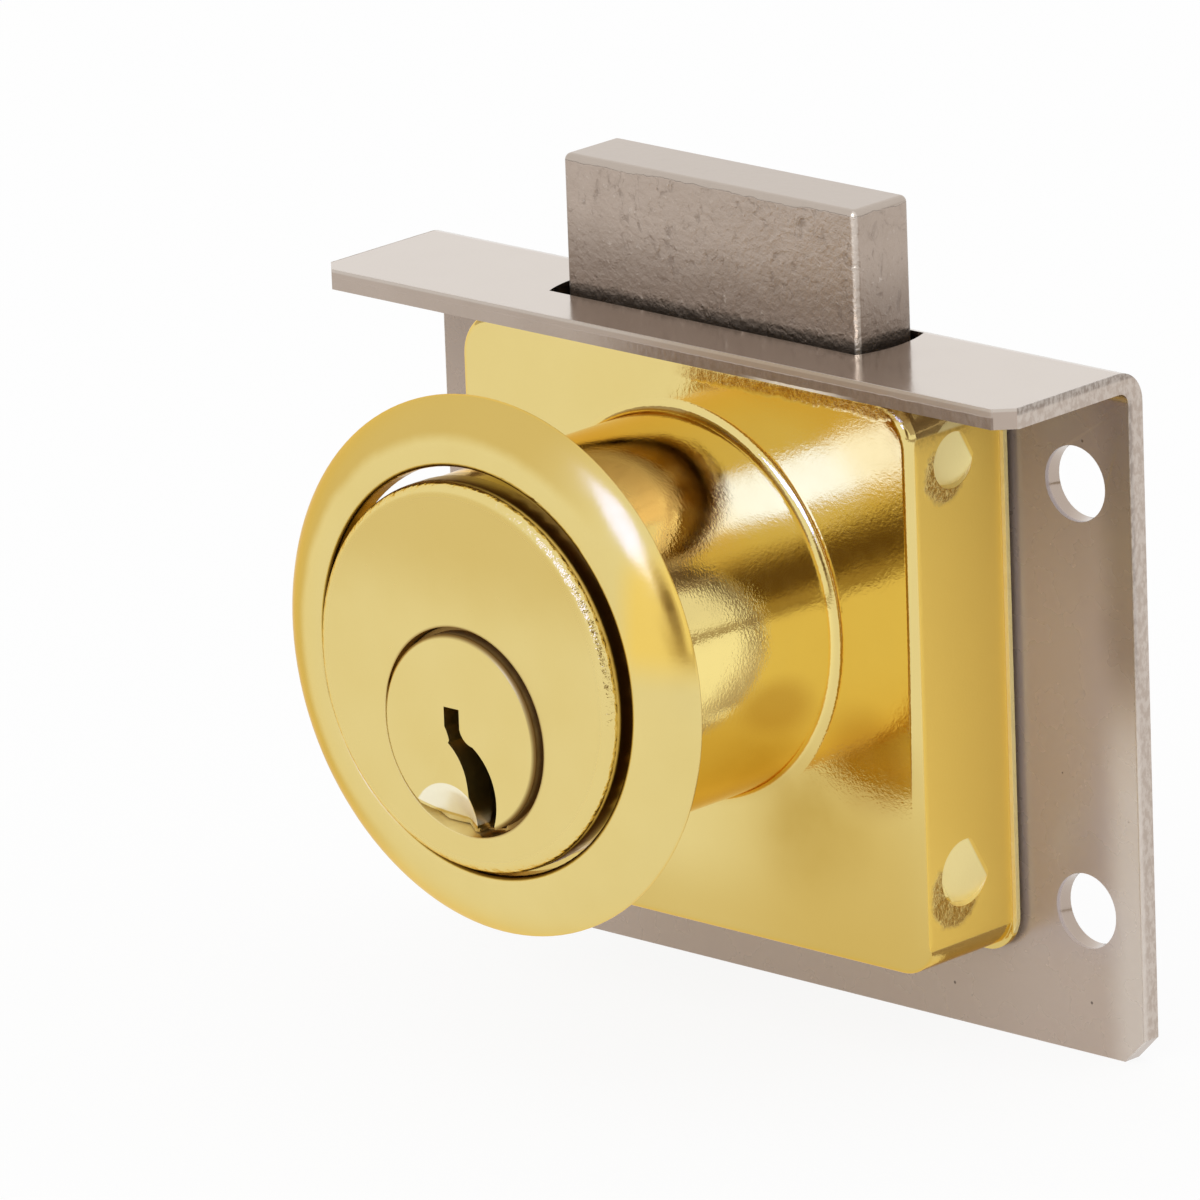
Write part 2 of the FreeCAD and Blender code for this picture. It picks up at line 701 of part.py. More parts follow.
def make_pins():
    """Key pins low in the plug, driver pins just above the plug's surface and a spring on each driver."""
    tip = pin_radius / 3
    for number, place in enumerate(pin_places(), 1):
        length = getattr(size, f"key_pin_{number}_length")
        foot = -size.pin_floor
        turned(f"key_pin_{number}", plug_level, [
            (ZERO, foot), (tip, foot), (pin_radius, foot + size.pin_tip),
            (pin_radius, foot + length - size.pin_bevel), (pin_radius - size.pin_bevel, foot + length),
            (ZERO, foot + length)], upright=True, place=-place)
        turned(f"driver_pin_{number}", driver_foot, [
            (ZERO, ZERO), (pin_radius - size.pin_bevel, ZERO), (pin_radius, size.pin_bevel),
            (pin_radius, size.driver_length - size.pin_bevel),
            (pin_radius - size.pin_bevel, size.driver_length), (ZERO, size.driver_length)],
            upright=True, place=-place)
        make_spring(f"pin_spring_{number}", place)


def make_spring(label, place):
    """The room that a pin spring fills, as a sleeve of its wire's thickness."""
    outer = pin_radius - size.spring_play
    inner = outer - size.spring_wire
    height = cover_foot - driver_top - size.pin_fit * 2
    turned(label, driver_top + size.pin_fit, [
        (inner, ZERO), (outer, ZERO), (outer, height), (inner, height)], upright=True, place=-place)


def make_rosette():
    """A convex ring of thin brass: crowned face, a collar turned in round the bore and a plain rear edge."""
    bore = head_radius + size.rosette_play
    outer = bore + size.rosette_width
    front = -(size.face_reach - size.rosette_set_back)
    rear = front + size.rosette_height
    crest = bore + size.rosette_roll
    turned("rosette", size.barrel_level + size.rosette_lift, [
        (rear, outer), (rear - size.rosette_edge, outer, -size.rosette_crown), (front, crest, -size.rosette_roll),
        (front + size.rosette_roll, bore), (front + size.rosette_collar, bore),
        (front + size.rosette_collar, bore + size.rosette_gauge),
        (front + size.rosette_gauge, bore + size.rosette_gauge, size.rosette_crown - size.rosette_gauge),
        (rear, outer - size.rosette_gauge)])


def main():
    make_back_plate()
    make_case()
    make_guide_frame()
    make_bolt()
    make_cylinder_body()
    make_pin_cover()
    make_plug()
    make_split_ring("cylinder_ring", size.barrel_level, ring_back, size.ring_gauge,
                    body_radius - size.groove_depth + size.ring_fit, size.ring_width, size.ring_gap)
    make_split_ring("plug_clip", plug_level, clip_back, size.clip_gauge,
                    plug_radius - size.groove_depth + size.ring_fit, size.clip_width, size.clip_gap)
    make_cam()
    make_cam_screw()
    make_pins()
    make_rosette()
    doc.recompute()
    failed = [item.Label for item in doc.Objects if {"Invalid", "Error"} & set(item.State)]
    if failed:
        raise RuntimeError(f"failed objects: {failed}")
    os.makedirs("parts", exist_ok=True)
    for piece in pieces:
        shape = piece.Shape
        if shape.isNull() or not shape.isValid():
            raise RuntimeError(f"{piece.Label} has no valid shape")
        shape.exportStep(f"parts/{piece.Label}.step")
        box = shape.optimalBoundingBox(False)
        print(f"{piece.Label}: {len(shape.Solids)} solid, {shape.Volume:.1f} mm3,"
              f" x {box.XMin:.2f} {box.XMax:.2f}, y {box.YMin:.2f} {box.YMax:.2f},"
              f" z {box.ZMin:.2f} {box.ZMax:.2f}")
    print(f"throw {float(throw):.3f} mm")


main()
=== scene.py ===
"""Half-mortise cabinet lock: finishes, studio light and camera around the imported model."""

import json
import math

import bpy
from mathutils import Color, Matrix, Vector


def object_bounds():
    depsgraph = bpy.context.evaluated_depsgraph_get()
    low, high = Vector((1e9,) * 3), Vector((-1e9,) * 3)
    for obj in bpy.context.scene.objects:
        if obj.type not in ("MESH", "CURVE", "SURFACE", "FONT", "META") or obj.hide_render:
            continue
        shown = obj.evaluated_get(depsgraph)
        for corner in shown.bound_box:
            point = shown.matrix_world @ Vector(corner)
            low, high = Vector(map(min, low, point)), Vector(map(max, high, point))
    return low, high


MM = 0.001
WHITE = (1.0, 1.0, 1.0, 1.0)

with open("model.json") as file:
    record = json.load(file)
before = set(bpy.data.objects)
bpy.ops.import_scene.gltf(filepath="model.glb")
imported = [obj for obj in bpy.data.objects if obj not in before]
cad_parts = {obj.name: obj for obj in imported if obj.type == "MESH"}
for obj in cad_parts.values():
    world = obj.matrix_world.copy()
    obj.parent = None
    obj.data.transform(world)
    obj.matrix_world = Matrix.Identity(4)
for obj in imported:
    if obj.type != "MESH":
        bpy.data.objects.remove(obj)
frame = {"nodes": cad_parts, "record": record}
cad_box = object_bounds()


# Nodes

def feed(tree, node, inputs):
    """Gives a node's sockets their values: numbers, colours or other nodes' outputs."""
    for socket, value in inputs.items():
        if isinstance(value, bpy.types.NodeSocket):
            tree.links.new(value, node.inputs[socket])
        else:
            node.inputs[socket].default_value = value


def add_node(tree, kind, inputs=None, **settings):
    """A new node with its settings and its inputs."""
    node = tree.nodes.new(kind)
    for name, value in settings.items():
        setattr(node, name, value)
    feed(tree, node, inputs or {})
    return node


def calculate(tree, operation, *values):
    """The result of a maths node for one or two values."""
    return add_node(tree, "ShaderNodeMath", dict(enumerate(values)), operation=operation).outputs[0]


def carry(tree, value, source, target, interpolation="LINEAR"):
    """A value carried from one span to another and held at the ends."""
    inputs = {"Value": value, "From Min": source[0], "From Max": source[1],
              "To Min": target[0], "To Max": target[1]}
    return add_node(tree, "ShaderNodeMapRange", inputs, interpolation_type=interpolation).outputs["Result"]


# Finishes

FROM_FRONT = (1, 0, 1)
FROM_SIDE = (0, 1, 1)
SPOT_CORE = 0.6


def fade(level, soft):
    """The ends in metres of a fade around a level, both given in millimetres."""
    return (level - soft / 2) * MM, (level + soft / 2) * MM


class Finish:
    """A node material and the few kinds of nodes that the lock's finishes are made of.

    Sizes and places are given in millimetres. A mask is 1 in its place and 0 elsewhere.
    """

    def __init__(self, name, glancing=WHITE):
        self.material = bpy.data.materials.new(name)
        self.material.use_nodes = True
        self.tree = self.material.node_tree
        self.shader = self.tree.nodes["Principled BSDF"]
        self.shader.inputs["Specular Tint"].default_value = glancing
        self.place = add_node(self.tree, "ShaderNodeTexCoord").outputs["Object"]

    def noise(self, size, detail=2.0, roughness=0.5, distortion=0.0, stretch=(1, 1, 1)):
        """Noise between 0 and 1 whose features have about the given size."""
        mapped = add_node(self.tree, "ShaderNodeMapping", {"Vector": self.place, "Scale": stretch})
        inputs = {"Vector": mapped.outputs["Vector"], "Scale": 1.0 / (size * MM), "Detail": detail,
                  "Roughness": roughness, "Distortion": distortion}
        return add_node(self.tree, "ShaderNodeTexNoise", inputs).outputs["Fac"]

    def spots(self, spacing, radius):
        """A mask of sparse round spots."""
        inputs = {"Vector": self.place, "Scale": 1.0 / (spacing * MM), "Randomness": 1.0}
        cells = add_node(self.tree, "ShaderNodeTexVoronoi", inputs, feature="F1")
        rim = radius / spacing
        return self.span(cells.outputs["Distance"], (rim, rim * SPOT_CORE), (0.0, 1.0))

    def span(self, value, source, target):
        """A value carried smoothly from one span to another and held at the ends."""
        return carry(self.tree, value, source, target, "SMOOTHSTEP")

    def times(self, *factors):
        """Numbers or outputs multiplied with each other."""
        product, *others = factors
        for factor in others:
            product = calculate(self.tree, "MULTIPLY", product, factor)
        return product

    def sum(self, *terms):
        """Values added up, each with its weight."""
        total, *others = [self.times(value, weight) for value, weight in terms]
        for term in others:
            total = calculate(self.tree, "ADD", total, term)
        return total

    def inverse(self, mask):
        """A mask of everything that another leaves out."""
        return self.span(mask, (0.0, 1.0), (1.0, 0.0))

    def axes(self):
        """Distances from the origin to the right, to the back and up, in metres."""
        return tuple(add_node(self.tree, "ShaderNodeSeparateXYZ", {"Vector": self.place}).outputs)

    def reach(self, centre, axes=FROM_FRONT):
        """Distance in metres from a point, counted along the axes whose weight is 1."""
        flat = add_node(self.tree, "ShaderNodeVectorMath", {0: self.place, 1: axes}, operation="MULTIPLY")
        middle = [number * MM * axis for number, axis in zip(centre, axes)]
        away = add_node(self.tree, "ShaderNodeVectorMath", {0: flat.outputs["Vector"], 1: middle},
                        operation="DISTANCE")
        return away.outputs["Value"]

    def past(self, distance, level, soft=0.1):
        """A mask of what lies past a level, fading in over a soft width."""
        return self.span(distance, fade(level, soft), (0.0, 1.0))

    def within(self, distance, level, soft=0.1):
        """A mask of what lies short of a level, fading out over a soft width."""
        return self.span(distance, fade(level, soft), (1.0, 0.0))

    def between(self, distance, low, high, soft=0.1):
        """A mask of what lies between two levels."""
        return self.times(self.past(distance, low, soft), self.within(distance, high, soft))

    def rough_edge(self, distance, size, swing):
        """A distance made uneven by noise of the given size, so that a border along it wanders.

        The border wanders at most the swing to either side.
        """
        wander = calculate(self.tree, "SUBTRACT", self.noise(size, detail=3, roughness=0.6), 0.5)
        return self.sum((distance, 1.0), (wander, swing * MM * 2))

    def blend(self, factor, first, second):
        """A colour between two colours."""
        mix = add_node(self.tree, "ShaderNodeMix", {0: factor, 6: first, 7: second}, data_type="RGBA")
        return mix.outputs[2]

    def coats(self, base, *layers):
        """A colour with others laid over it in turn, each with its mask and its strength."""
        for mask, strength, colour in layers:
            base = self.blend(self.times(mask, strength), base, colour)
        return base

    def relief(self, *layers):
        """Surface relief from the lowest layer up, each with its height and how deep a height of 1 is."""
        normal = None
        for height, depth in layers:
            inputs = {"Height": height, "Strength": 1.0, "Distance": depth * MM}
            if normal is not None:
                inputs["Normal"] = normal
            normal = add_node(self.tree, "ShaderNodeBump", inputs).outputs["Normal"]
        return normal

    def finish(self, colour, roughness, normal, metallic=1.0):
        """The material, once its shader has its inputs."""
        feed(self.tree, self.shader,
             {"Base Color": colour, "Roughness": roughness, "Normal": normal, "Metallic": metallic})
        return self.material


def tone(red, green, blue):
    """A linear colour from one written as it shows on a screen, 0 to 255."""
    return (*Color((red / 255, green / 255, blue / 255)).from_srgb_to_scene_linear(), 1.0)


BRASS_LIGHT = tone(231, 211, 142)
BRASS_DEEP = tone(225, 202, 128)
BRASS_RICH = tone(208, 177, 94)
# Satin for the case's sides, and a painted reflection on the rosette's right.
BRASS_SATIN_AND_PAINTED_REFLECTION = tone(242, 205, 98)
# Painted shade on the top of the barrel.
BRASS_GOLD = tone(226, 190, 98)
# Painted light on the barrel's lower right.
BRASS_BARREL = tone(250, 228, 146)
# Painted shade in the gap round the plug's nose.
BRASS_GAP_SHADE = tone(190, 160, 98)
# Painted light on the dimple floors, the lip edge and the gap's lower left.
BRASS_PAINTED_LIGHT = tone(255, 239, 170)
# The cut lead-in with a painted highlight.
BRASS_CUT_PAINTED_HIGHLIGHT = tone(255, 250, 226)
BRASS_SHADE = tone(184, 150, 62)
# Painted shade: the flange's shadows, a patch low on the front and the brown of the dimples' ragged edges.
BRASS_BROWN = tone(176, 138, 66)
BRASS_DARK = tone(118, 84, 36)
# Painted shade where the barrel runs under the rosette and on the head's wall.
BRASS_RECESS_SHADE = tone(92, 62, 22)
BRASS_GLANCING = tone(255, 230, 178)
NICKEL_LIGHT = tone(190, 175, 163)
NICKEL_DEEP = tone(172, 156, 143)
NICKEL_BRIGHT = tone(226, 217, 208)
NICKEL_TOP = tone(186, 174, 163)
NICKEL_SHELTERED = tone(190, 173, 160)
NICKEL_BESIDE = tone(184, 171, 169)
# The flange top painted lighter.
NICKEL_FLANGE = tone(200, 189, 179)
NICKEL_TORN = tone(140, 122, 109)
NICKEL_DARK = tone(112, 97, 87)
# Painted shade at the bolt's foot.
NICKEL_FOOT_SHADE = tone(72, 64, 55)
# A painted highlight streak on the flange's front edge.
NICKEL_PAINTED_HIGHLIGHT = tone(255, 252, 248)
SPRING_LIGHT = tone(196, 196, 198)
SPRING_DEEP = tone(160, 160, 162)
STEEL_LIGHT = tone(186, 180, 172)
STEEL_DEEP = tone(150, 144, 138)

# Places on the lock in millimetres: to the right, to the back and up, or away from an axis.
# A level that picks out a surface lies a little to one side of it.
CASE_SIDE = 18.7
SIDE_ROOM = 0.06
DIMPLE_FLOOR = 17.9
BARREL_AXIS = (0.0, 0.0, 4.0)
HEAD_RADIUS = 12.1
PLUG_AXIS = (0.0, 0.0, 0.7)
NOSE_RADIUS = 6.17
MOUTH_RADIUS = 6.63
LEAD_IN = (-1.2, 0.0, -5.6)
LEAD_IN_RADIUS = 3.05
LEAD_IN_FRONT = -29.61
LEAD_IN_BACK = -27.6
LEAD_IN_RIGHT = 0.5
RING_AXIS = (0.0, 0.0, 4.2)
COLLAR_RADIUS = 12.85
PLATE_SIDE = 28.42
FLANGE_FRONT = -11.05
BOLT_TOP = 29.72
BOLT_RIGHT = 11.78
BOLT_FRONT = -5.66

# The case's punched dimples seen from its right: each floor, and the ragged edge at its lower left
DIMPLES = (
    {"middle": (0, -4.7, 15.4), "radius": 2.5, "edge": (0, -5.9, 14.6), "spread": 1.7},
    {"middle": (0, -4.7, -11.0), "radius": 2.8, "edge": (0, -6.1, -12.0), "spread": 2.0},
)


def case_plating(name):
    """Polished brass plating: orange peel, slow waves, specks, satin sides and ragged punch marks, with
    painted shade under the flange, low on the front and on the barrel, and painted light on the barrel, the
    dimple floors and the lip edge.
    """
    brass = Finish(name, glancing=BRASS_GLANCING)
    across, deep, up = brass.axes()
    out = calculate(brass.tree, "ABSOLUTE", across)

    front = brass.within(deep, -8.0, soft=0.4)
    # Painted shadow of the flange: a mottled brown band along the top of the front.
    flange_shadow = brass.past(brass.rough_edge(up, size=1.1, swing=0.3), 18.45, soft=0.3)
    flange_shadow_front = brass.times(flange_shadow, front, brass.past(across, 0.5, soft=3.0))
    # Painted shade: the front turns deeper towards the bottom and the lower right.
    low = brass.within(up, -13.5, soft=5.0)
    low_right = brass.times(brass.within(brass.reach((13.0, 0, -13.0)), 9.0, soft=12.0), front)
    # Painted shade: a brown patch and a streaked darker spot on the lower right of the front.
    patch = brass.times(brass.within(brass.reach((14.6, 0, -3.6)), 3.0, soft=3.0), front)
    shade = brass.times(brass.within(brass.reach((9.6, 0, -8.6)), 3.6, soft=5.5), front)
    # Painted shade where the barrel runs in under the rosette.
    barrel_end = brass.within(deep, -25.8, soft=0.3)
    # Painted light on the lower right of the barrel.
    barrel_right = brass.times(brass.past(across, 8.0, soft=2.0), brass.within(deep, -9.3, soft=0.5))
    barrel_low = brass.times(barrel_right, brass.within(up, 7.0, soft=3.0))
    # Painted shade that dims the top of the barrel's front half.
    barrel_high = brass.times(brass.within(deep, -14.5, soft=4.0), brass.past(up, 10.5, soft=3.0))

    side = brass.times(brass.between(out, CASE_SIDE - SIDE_ROOM, CASE_SIDE + SIDE_ROOM, soft=0.04),
                       brass.past(deep, -8.55, soft=0.2))
    # Painted shadow of the flange on the upper back of the side wall.
    side_shadow_border = brass.past(brass.rough_edge(up, size=1.5, swing=0.5), 16.9, soft=1.6)
    side_shadow = brass.times(side, side_shadow_border, brass.within(deep, -3.2, soft=3.0))
    # Painted highlight: a bright line along the side's lip edge.
    lip_edge = brass.past(out, CASE_SIDE + SIDE_ROOM, soft=0.04)
    floors = []
    edges = []
    for dimple in DIMPLES:
        from_middle = brass.reach(dimple["middle"], FROM_SIDE)
        floors.append((brass.within(from_middle, dimple["radius"], soft=0.2), 1.0))
        from_edge = brass.rough_edge(brass.reach(dimple["edge"], FROM_SIDE), size=0.5, swing=0.35)
        edges.append((brass.within(from_edge, dimple["spread"], soft=0.7), 1.0))
    # Painted light: the dimple floors are painted pale.
    bottoms = brass.times(brass.sum(*floors),
                          brass.between(out, DIMPLE_FLOOR, CASE_SIDE - SIDE_ROOM, soft=0.04))
    # The ragged punch marks at the dimples' lower left are real; their brown is painted shade.
    marks = brass.times(brass.sum(*edges), brass.inverse(bottoms), brass.past(out, 18.0, soft=0.2))
    satin = brass.times(side, brass.inverse(marks))

    specks = brass.spots(spacing=5.5, radius=0.14)
    crumbs = brass.noise(0.3, detail=3, roughness=0.7)
    clouds = brass.noise(9, detail=3, roughness=0.6)
    streaks = brass.span(brass.noise(4.5, detail=3), (0.3, 0.7), (0.35, 0.6))
    colour = brass.coats(
        brass.blend(clouds, BRASS_LIGHT, BRASS_DEEP),
        (low_right, 0.85, BRASS_RICH),
        (low, 0.6, BRASS_RICH),
        (patch, 0.5, BRASS_BROWN),
        (shade, streaks, BRASS_SHADE),
        (barrel_low, 0.85, BRASS_BARREL),
        (barrel_high, 0.6, BRASS_GOLD),
        (barrel_end, 0.85, BRASS_RECESS_SHADE),
        (flange_shadow_front, brass.span(crumbs, (0.35, 0.6), (0.9, 0.45)), BRASS_BROWN),
        (satin, 1.0, BRASS_SATIN_AND_PAINTED_REFLECTION),
        (side_shadow, brass.span(crumbs, (0.38, 0.62), (0.8, 0.3)), BRASS_BROWN),
        (brass.sum((bottoms, 1.0), (lip_edge, 1.0)), 1.0, BRASS_PAINTED_LIGHT),
        (marks, brass.span(crumbs, (0.38, 0.62), (0.95, 0.3)), BRASS_BROWN),
        (specks, 1.0, BRASS_DARK),
    )
    gloss = brass.span(brass.noise(1.6, detail=3), (0.3, 0.7), (0.06, 0.12))
    roughness = brass.sum((gloss, 1.0), (satin, 0.35), (bottoms, 0.3), (lip_edge, 0.3))
    dull = brass.sum((satin, 0.8), (bottoms, 0.5), (lip_edge, 0.6))
    peel = brass.times(brass.noise(0.2, roughness=0.6),
                       brass.span(brass.noise(3.5), (0.3, 0.65), (0.6, 1.3)))
    ragged = brass.times(crumbs, brass.sum((marks, 1.0), (flange_shadow_front, 0.25)))
    lip = brass.times(brass.noise(0.8, detail=3, roughness=0.7), brass.past(deep, -0.85))
    waves = brass.noise(6.5, detail=1)
    normal = brass.relief((waves, 0.04), (peel, 0.007), (ragged, 0.16), (lip, 0.12), (specks, -0.02))
    return brass.finish(colour, roughness, normal, calculate(brass.tree, "SUBTRACT", 1.0, dull))


def face_brass(name):
    """Satin brass on the cylinder's faces: a glittering rounded rim, painted shade on the head's wall, the
    plug's nose, the gap and the keyway, painted light on the gap's lower left and a cut lead-in with a
    painted highlight.
    """
    brass = Finish(name, glancing=BRASS_GLANCING)
    across, deep, up = brass.axes()
    from_barrel = brass.reach(BARREL_AXIS)
    from_plug = brass.reach(PLUG_AXIS)
    slant = brass.sum((across, 0.77), (up, 0.64))

    rim = brass.times(brass.past(from_barrel, 11.5, soft=0.5), brass.within(deep, -28.6, soft=0.3))
    # Painted shade on the head's side wall inside the rosette.
    wall = brass.times(brass.past(from_barrel, HEAD_RADIUS), brass.past(deep, -28.35, soft=0.3))
    crown = brass.times(brass.past(brass.rough_edge(up, size=3.0, swing=0.6), 9.5, soft=6.0),
                        brass.within(deep, -29.1))
    # Painted shade on the plug's nose and its side.
    nose = brass.times(brass.between(from_plug, 6.05, MOUTH_RADIUS, soft=0.25),
                       brass.past(slant, -1.5, soft=3.0))
    # Painted shade in the gap round the plug's nose, and painted light on its lower left.
    gap = brass.times(brass.between(from_plug, NOSE_RADIUS, MOUTH_RADIUS, soft=0.05),
                      brass.past(deep, -29.3, soft=0.3))
    lit_gap = brass.times(gap, brass.within(slant, -3.6, soft=1.5))
    # The cut lead-in's facets, with a painted highlight on them.
    lead_in = brass.times(brass.within(brass.reach(LEAD_IN), LEAD_IN_RADIUS),
                          brass.between(deep, LEAD_IN_FRONT, LEAD_IN_BACK, soft=0.06),
                          brass.within(from_plug, 6.0),
                          brass.within(across, LEAD_IN_RIGHT, soft=0.2))
    # Painted shade down the keyway's throat.
    throat = brass.times(brass.past(deep, LEAD_IN_BACK, soft=0.5),
                         brass.within(from_plug, NOSE_RADIUS, soft=0.05))

    specks = brass.spots(spacing=3.4, radius=0.12)
    crumbs = brass.noise(0.62, detail=3, roughness=0.6)
    grain = brass.noise(0.3)
    colour = brass.coats(
        brass.blend(brass.noise(5), BRASS_LIGHT, BRASS_DEEP),
        (crown, 0.55, BRASS_RICH),
        (specks, 1.0, BRASS_DARK),
        (wall, 0.9, BRASS_RECESS_SHADE),
        (nose, 0.9, BRASS_DARK),
        (gap, 0.9, BRASS_GAP_SHADE),
        (lit_gap, 0.7, BRASS_PAINTED_LIGHT),
        (lead_in, 0.9, BRASS_CUT_PAINTED_HIGHLIGHT),
        (throat, 0.5, BRASS_DARK),
    )
    gloss = brass.span(rim, (0.0, 1.0), (0.26, 0.1))
    roughness = brass.sum((gloss, 1.0), (grain, 0.06), (nose, 0.3))
    dull = brass.sum((lead_in, 0.6), (lit_gap, 0.8))
    waves = brass.noise(4, detail=1)
    normal = brass.relief((grain, 0.003), (waves, 0.012), (brass.times(crumbs, rim), 0.15), (specks, -0.02))
    return brass.finish(colour, roughness, normal, calculate(brass.tree, "SUBTRACT", 1.0, dull))


def rosette_brass(name):
    """Drawn and polished brass: a band of painted shade at the upper left, a painted reflection at the right,
    clouds and painted shade inside the collar.
    """
    brass = Finish(name, glancing=BRASS_GLANCING)
    across, deep, up = brass.axes()
    from_axis = brass.reach(RING_AXIS)

    # Painted shade: a deeper band on the outer slope at the upper left.
    outer = brass.past(brass.rough_edge(from_axis, size=3.0, swing=0.25), 14.6, soft=0.9)
    upper_left = brass.within(brass.sum((across, 0.8), (up, -0.6)), -3.5, soft=9.0)
    # Painted reflection: a more saturated yellow on the right of the ring.
    right = brass.times(brass.past(across, 12.6, soft=2.0), brass.between(up, 6.8, 13.5, soft=3.0))
    # Painted shade inside the collar.
    collar = brass.times(brass.within(from_axis, COLLAR_RADIUS), brass.past(deep, -27.75, soft=0.3))

    specks = brass.spots(spacing=4.6, radius=0.12)
    clouds = brass.noise(7, detail=3, roughness=0.6)
    colour = brass.coats(
        brass.blend(clouds, BRASS_LIGHT, BRASS_DEEP),
        (brass.times(outer, upper_left), 0.85, BRASS_RICH),
        (right, 0.85, BRASS_SATIN_AND_PAINTED_REFLECTION),
        (collar, 0.85, BRASS_DARK),
        (specks, 1.0, BRASS_DARK),
    )
    roughness = brass.span(brass.noise(2.2, detail=3), (0.3, 0.7), (0.18, 0.26))
    waves = brass.noise(5)
    peel = brass.noise(0.3, roughness=0.6)
    return brass.finish(colour, roughness, brass.relief((waves, 0.03), (peel, 0.003), (specks, -0.015)))


def plated_sheet(name):
    """Nickel on sheet steel: cloudy gloss, specks, duller under the flange, sheared edges in two bands, a
    flange top painted lighter, a painted highlight streak on the flange's front edge, painted shade high on
    the plate, and painted light and shade along its right strip.
    """
    nickel = Finish(name)
    across, deep, up = nickel.axes()
    out = calculate(nickel.tree, "ABSOLUTE", across)

    front_edge = nickel.within(deep, FLANGE_FRONT, soft=0.05)
    side_edge = nickel.past(out, PLATE_SIDE, soft=0.05)
    low_band = nickel.within(nickel.rough_edge(up, size=1.2, swing=0.08), 20.85)
    torn = nickel.times(front_edge, low_band, nickel.past(across, -3.0, soft=9.0))
    top_roll = nickel.times(side_edge, nickel.past(up, 19.9, soft=0.3), nickel.past(up, 20.95, soft=0.2))
    # The flange top is painted lighter than the rest of the sheet.
    top_face = nickel.past(up, 21.2)
    # A painted highlight streak along the lower band of the flange's front edge.
    streak_border = nickel.within(nickel.rough_edge(up, size=1.0, swing=0.06), 20.27, soft=0.05)
    streak = nickel.times(streak_border, front_edge, nickel.between(across, 8.5, 15.0, soft=4.0))

    sheltered = nickel.times(nickel.between(deep, -1.5, 0.3, soft=0.3), nickel.within(up, 19.6, soft=1.5))
    # Painted shade: the plate's front darkens towards the top, under the flange.
    upper = nickel.times(sheltered, nickel.past(up, 10.0, soft=16.0))
    beside = nickel.times(sheltered, nickel.between(across, 18.9, 27.0, soft=3.0),
                          nickel.past(up, -15.5, soft=5.0))
    # Painted light low and painted shade high along the plate's right strip.
    strip = nickel.times(sheltered, nickel.past(nickel.rough_edge(across, size=4, swing=0.6), 26.3, soft=2.4))
    low_strip = nickel.times(strip, nickel.within(up, -1.0, soft=9.0))
    high_strip = nickel.times(strip, nickel.past(up, 1.0, soft=6.0))

    grain = nickel.noise(0.35)
    specks = nickel.spots(spacing=3.6, radius=0.12)
    burrs = nickel.noise(0.45, detail=3, roughness=0.65, stretch=(1.2, 1.2, 0.7))
    clouds = nickel.noise(7, detail=4, roughness=0.6)
    colour = nickel.coats(
        nickel.blend(clouds, NICKEL_LIGHT, NICKEL_DEEP),
        (top_face, 1.0, NICKEL_FLANGE),
        (sheltered, 1.0, NICKEL_SHELTERED),
        (beside, 1.0, NICKEL_BESIDE),
        (upper, 0.3, NICKEL_DARK),
        (low_strip, 0.55, NICKEL_BRIGHT),
        (high_strip, 0.45, NICKEL_DARK),
        (torn, nickel.span(burrs, (0.3, 0.7), (1.0, 0.75)), NICKEL_TORN),
        (streak, 1.0, NICKEL_PAINTED_HIGHLIGHT),
        (top_roll, 0.7, NICKEL_DARK),
        (side_edge, nickel.span(burrs, (0.4, 0.6), (0.1, 0.45)), NICKEL_BRIGHT),
        (specks, 1.0, NICKEL_DARK),
    )
    gloss = nickel.span(nickel.noise(3, detail=3), (0.3, 0.7), (0.12, 0.18))
    roughness = nickel.sum((gloss, 1.0), (sheltered, 0.12), (front_edge, 0.2), (side_edge, 0.2))
    metallic = nickel.inverse(nickel.sum((sheltered, 0.6), (front_edge, 0.5)))
    scores = nickel.times(burrs, nickel.sum((nickel.times(front_edge, low_band), 0.6), (side_edge, 0.5)))
    waves = nickel.noise(8)
    normal = nickel.relief((waves, 0.02), (grain, 0.003), (scores, 0.08), (specks, -0.02))
    return nickel.finish(colour, roughness, normal, metallic)


